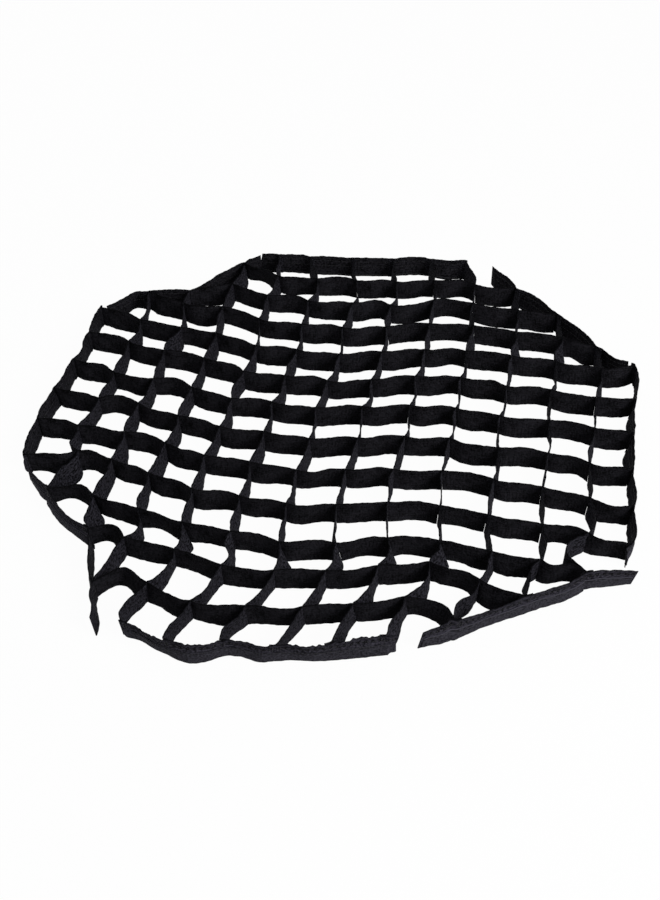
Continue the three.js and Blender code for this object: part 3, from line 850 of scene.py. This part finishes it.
for name in inner_places:
    line = strip_lines[name]
    from_below = name in cross_names
    slot_end = strip_height / 2 + (slot_gap if from_below else -slot_gap)
    slot_heights = (-math.inf, slot_end) if from_below else (slot_end, math.inf)
    slots = []
    for place, other in crossings[name]:
        along = line.nearest(place)
        other_line = strip_lines[other]
        cosine = abs(float(np.dot(line.way(along), other_line.way(other_line.nearest(place)))))
        sine = math.sqrt(1 - cosine**2)
        half = (cloth_thickness * (1 + cosine) / sine + slot_play) / 2
        slots.append((along - half, along + half, *slot_heights))
    marks = sorted({0.0, line.length, *tab_marks[name], *(x for s in slots for x in s[:2])})
    rows = evenly([0.0, edge_row, slot_end, strip_height - edge_row, strip_height], row_step)
    strip = cut_flat(name + "_cloth", evenly(marks, column_step), rows, cloth_thickness, slots)
    strip.data.materials.append(cross_nylon if from_below else long_nylon)
    stand_up(strip, strip_cloth[name])
    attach(strip, "root")
    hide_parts(name)


# The edge bands
# The rim is a band of the same cloth, doubled, with its fold at the top and a brushed outer face,
# round all eight sides. On the slanting sides it runs on past the last strip as a free flap, which
# folds about the upright line beside its seam.
hem_height = 26 * mm
hem_blend = 2 * mm
stitch_row = 30 * mm
# The colour of the painted shade in the dimples along the row of stitches.
stitch_shadow = "#040405"
dimple_pitch = 9.5 * mm
band_nap = (4 * mm, 3 * mm)
band_inside = woven_cloth(
    "woven nylon, doubled", *nylon_tones, band_nap, roughness=0.9, sheen=0.01
)
# Brushing raises the nap of the outer face, which makes it paler and duller.
band_outside = woven_cloth(
    "brushed nylon", "#0d0d10", "#413f48", band_nap, roughness=0.9, sheen=0.03, hem=hem_height
)
blend_before = 3 * mm
blend_after = 6 * mm
band_row_step = 2.4 * mm
row_end = 4 * mm
turned_edge = 0.7 * mm
turned_share = 0.4
# A strip's tab is sewn on by two upright rows of stitches on each side of its seam. Two more rows
# along the band hold the hook tape.
strip_seams = (3.2 * mm, 7 * mm)
seam_foot, seam_top = 24 * mm, 36 * mm
tape_seam = 2 * mm
folds = {joint["child"]: joint["pos_m"] for joint in frame["joints"]}
tape_low, tape_high = (corner.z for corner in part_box("hook_tape_far"))


def halves(side):
    """The stretches of a side's line that are cut as separate pieces, each with its flap's number
    or
    None.
    """
    line = rim[side]
    if side not in flap_sides:
        return [(0.0, line.length, None)]
    at_fold = {hour: line.nearest(folds["flap_" + hour][:2]) for hour in flap_sides[side]}
    first, last = sorted(at_fold, key=at_fold.get)
    joints = sorted(joints_on_side[side])
    middle = joints[len(joints) // 2]
    return [(0.0, middle, first), (middle, line.length, last)]


def set_moving(piece, side, hour):
    """A piece on a straight side is attached to the root. One with a flap has its transform baked
    into its mesh, and stays where it stands.
    """
    if hour is None:
        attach(piece, "root")
        return
    line = rim[side]
    fold = line.nearest(folds["flap_" + hour][:2])
    out = 1 if fold > line.length / 2 else -1
    start = line.at(fold - out * blend_before)
    end = line.at(fold + out * blend_after)
    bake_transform(piece)


# Every seam is a row of lockstitches in dark bonded thread, which is smooth and shines dully. Its
# plies are about 0.2 mm thick, and are drawn coarser here so that they show.
stitch_pitch = 3.6 * mm
stitch_length = 2.6 * mm
stitch_radius = 0.32 * mm
stitch_bevel = 0.12 * mm
stitch_slant = math.radians(9)
plies_per_metre = 1.5 / mm
thread = new_material("bonded nylon thread")
inputs = {"Vector": add(thread, "TexCoord", {}).outputs["Object"], "Scale": plies_per_metre}
ply = add(thread, "TexNoise", {**inputs, "Detail": 2.0}).outputs["Fac"]
inputs = {"Factor": ply, "A": linear("#0b0b0d"), "B": linear("#222127")}
thread_colour = add(thread, "Mix", inputs, data_type="RGBA").outputs["Result"]
inputs = {"Height": ply, "Strength": 0.4, "Distance": 0.2 * mm}
thread_bump = add(thread, "Bump", inputs).outputs["Normal"]
inputs = {"Base Color": thread_colour, "Roughness": 0.55, "Normal": thread_bump}
thread_shader = add(thread, "BsdfPrincipled", inputs).outputs["BSDF"]
add(thread, "OutputMaterial", {"Surface": thread_shader})


def stitches(first, last, height, out, top=None):
    """A row of stitches on the flat cloth, along it at a height, or up it from there to a top."""
    bpy.ops.object.select_all(action="DESELECT")
    length = last - first if top is None else top - height
    count = max(1, int(length / stitch_pitch))
    pitch = length / count
    start = (first + pitch / 2, height, out) if top is None else (first, height + pitch / 2, out)
    turn = stitch_slant + (0 if top is None else math.pi / 2)
    bpy.ops.mesh.primitive_cylinder_add(
        vertices=6,
        radius=stitch_radius,
        depth=stitch_length,
        rotation=(math.pi / 2, 0, math.pi / 2),
    )
    row = bpy.context.active_object
    bpy.ops.object.transform_apply(location=True, rotation=True, scale=True)
    bpy.ops.object.mode_set(mode="EDIT")
    bpy.ops.mesh.bevel(offset=stitch_bevel, segments=1)
    bpy.ops.object.mode_set(mode="OBJECT")
    row.rotation_euler.z = turn
    row.location = start
    bpy.ops.object.transform_apply(location=True, rotation=True, scale=True)
    repeat = row.modifiers.new("row", "ARRAY")
    repeat.count = count
    repeat.use_relative_offset = False
    repeat.use_constant_offset = True
    repeat.constant_offset_displace = (pitch, 0, 0) if top is None else (0, pitch, 0)
    bpy.ops.object.modifier_apply(modifier=repeat.name)
    row.data.materials.append(thread)
    return row


def join_to(piece, rows):
    """Joins rows of stitches to the flat piece that they are sewn through."""
    bpy.ops.object.select_all(action="DESELECT")
    for row in rows:
        row.select_set(True)
    piece.select_set(True)
    bpy.context.view_layer.objects.active = piece
    bpy.ops.object.join()


for side in sides:
    for start, finish, hour in halves(side):
        name = "band_" + side + ("_" + hour if hour else "")
        inside = [j for j in joints_on_side[side] if start < j < finish]
        columns = evenly(sorted({start, finish, *inside}), column_step)
        edge = strip_height - turned_edge
        rows = evenly([0.0, edge_row, tape_low, tape_high, edge, strip_height], band_row_step)
        band = cut_flat(name, columns, rows, band_thickness)
        band.data.materials.append(band_inside)
        band.data.materials.append(band_outside)
        for face in band.data.polygons:
            face.material_index = 1 if face.normal.z > 0.5 else 0
        # The fold at the top is rounded.
        for vertex in band.data.vertices:
            if vertex.co.y > strip_height - turned_edge / 2:
                vertex.co.z *= turned_share
        face_out = (band_thickness + stitch_radius) / 2
        ends = (start + (row_end if start == 0 else 0), finish - (row_end if hour else 0))
        sewn = [stitches(*ends, stitch_row, way * face_out) for way in (-1, 1)]
        for height in (tape_low + tape_seam, tape_high - tape_seam):
            sewn.append(stitches(*ends, height, -face_out))
        for joint in inside:
            for aside in strip_seams:
                for way in (-1, 1):
                    place = joint + way * aside
                    sewn.append(stitches(place, place, seam_foot, face_out, top=seam_top))
        join_to(band, sewn)
        stand_up(band, band_cloth[side])
        set_moving(band, side, hour)
        stood_for = ["edge_band_" + side] + (["corner_flap_" + hour] if hour else [])
        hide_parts(*stood_for)


# The hook tapes
# A grey-violet hook tape is sewn along the lower half of the band's outer face. It holds the grid
# inside a softbox. Its woven selvedges are flat, and the field of hooks between them is raised.
tape_thickness = 1.0 * mm
field_height = 0.7 * mm
tape_end = 3 * mm
tape_row_step = 2 * mm
selvedge = 2.6 * mm
selvedge_slope = 0.4 * mm
field_low, field_high = tape_low + selvedge, tape_high - selvedge
tape_rows = [tape_low, field_low - selvedge_slope, field_low]
tape_rows += [field_high, field_high + selvedge_slope, tape_high]
tape_out = (band_thickness + tape_thickness) / 2 + seam_gap
on_tape = tape_out + (tape_thickness + stitch_radius) / 2
# The hooks scatter the light, so that the tape looks paler and flatter than the cloth beside it.
tape_nap = (3 * mm, 3 * mm)
tape_tones = ("#1b1a1e", "#3a3940")
# The colour and the height of the painted highlight along the tape's upper selvedge.
painted_highlight_colour = "#56545f"
painted_highlight_height = tape_high - 0.6 * mm
hook_tape = woven_cloth(
    "hook tape, nylon", *tape_tones, tape_nap, roughness=0.75, sheen=0.05, painted_highlight_at=painted_highlight_height
)
# The near side's tape gets no painted highlight along its selvedge.
tape_without_highlight = woven_cloth("hook tape, no painted highlight", *tape_tones, tape_nap, roughness=0.75, sheen=0.05)
for side in sides:
    for start, finish, hour in halves(side):
        low_end = start + (tape_end if start == 0 else 0)
        high_end = finish - (tape_end if finish == rim[side].length else 0)
        name = "tape_" + side + ("_" + hour if hour else "")
        columns = evenly([low_end, high_end], column_step)
        rows = evenly(tape_rows, tape_row_step)
        tape = cut_flat(name, columns, rows, tape_thickness, out=tape_out)
        for vertex in tape.data.vertices:
            in_field = field_low - height_match < vertex.co.y < field_high + height_match
            if vertex.co.z > tape_out and in_field:
                vertex.co.z += field_height
        tape.data.materials.append(tape_without_highlight if side == "near" else hook_tape)
        sewn = [
            stitches(low_end, high_end, height, on_tape)
            for height in (tape_low + selvedge / 2, tape_high - selvedge / 2)
        ]
        join_to(tape, sewn)
        stand_up(tape, band_cloth[side])
        set_moving(tape, side, hour)
        stood_for = ["hook_tape_" + side] + (["flap_tape_" + hour] if hour else [])
        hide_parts(*stood_for)


# The table, the light and the camera
# The grid lies on a white table top. A large soft lamp stands to the right of the camera, so that
# the faces to the near side stay dark and those to the right catch the light.
table_size = 8
plain_white = linear("#ffffff")
plain_share = 0.97
room_light = 0.3
bpy.ops.object.select_all(action="DESELECT")
bpy.ops.mesh.primitive_plane_add(size=table_size, location=(0, 0, 0))
table = bpy.context.active_object
table.name = "table_top"
# Matt white paint, so brightly lit that the camera sees it almost plain, with a faint shadow.
white = new_material("white table top")
paint = add(white, "BsdfDiffuse", {"Color": linear("#f0f0f0")}).outputs["BSDF"]
shown = add(white, "Emission", {"Color": plain_white, "Strength": 1.0}).outputs["Emission"]
rays = add(white, "LightPath", {}).outputs
seen = rays["Is Camera Ray"]
for kind in ("Is Glossy Ray", "Is Transmission Ray"):
    seen = add(white, "Math", {0: seen, 1: rays[kind]}, operation="MAXIMUM").outputs[0]
share = add(white, "Math", {0: seen, 1: plain_share}, operation="MULTIPLY").outputs[0]
floor = add(white, "MixShader", {0: share, 1: paint, 2: shown}).outputs["Shader"]
add(white, "OutputMaterial", {"Surface": floor})
table.data.materials.append(white)

world = bpy.data.worlds.new("studio")
bpy.context.scene.world = world
world.use_nodes = True
world.node_tree.nodes.clear()
inputs = {0: add(world, "LightPath", {}).outputs["Is Camera Ray"]}
for number, strength in enumerate((room_light, 1.0), 1):
    sky = add(world, "Background", {"Color": plain_white, "Strength": strength})
    inputs[number] = sky.outputs["Background"]
add(world, "OutputWorld", {"Surface": add(world, "MixShader", inputs).outputs["Shader"]})


def towards(azimuth, elevation):
    """The unit vector to a place round the grid. Azimuth 0 is the near side and 90 the right."""
    a, e = math.radians(azimuth), math.radians(elevation)
    return Vector((math.sin(a) * math.cos(e), -math.cos(a) * math.cos(e), math.sin(e)))


def soft_lamp(name, azimuth, elevation, distance, size, power):
    direction = towards(azimuth, elevation)
    bpy.ops.object.light_add(type="AREA", location=direction * distance)
    lamp = bpy.context.active_object
    lamp.name = name
    lamp.rotation_euler = direction.to_track_quat("Z", "Y").to_euler()
    lamp.data.shape = "DISK"
    lamp.data.size = size
    lamp.data.energy = power


soft_lamp("key_lamp", azimuth=62, elevation=36, distance=3.2, size=1.6, power=72)
soft_lamp("back_lamp", azimuth=215, elevation=40, distance=3.2, size=2.0, power=12)

# The camera stands where the photograph was taken from: it looks down on the grid from the near
# side, a little from the right, and it is turned a little about its own axis.
camera_azimuth = 12.93
camera_elevation = 42.27
camera_roll = -2.18
camera_distance = 1.813
camera_sensor = 36
camera_lens = 45.12
camera_target = Vector((3.3 * mm, -44 * mm, 0))
direction = towards(camera_azimuth, camera_elevation)
bpy.ops.object.camera_add(location=camera_target + direction * camera_distance)
camera = bpy.context.active_object
facing = direction.to_track_quat("Z", "Y").to_matrix()
turned = facing @ Matrix.Rotation(math.radians(camera_roll), 3, "Z")
camera.rotation_euler = turned.to_euler()
camera.data.sensor_fit = "VERTICAL"
camera.data.sensor_height = camera_sensor
camera.data.lens = camera_lens
bpy.context.scene.camera = camera
bpy.context.scene.view_settings.view_transform = "Standard"
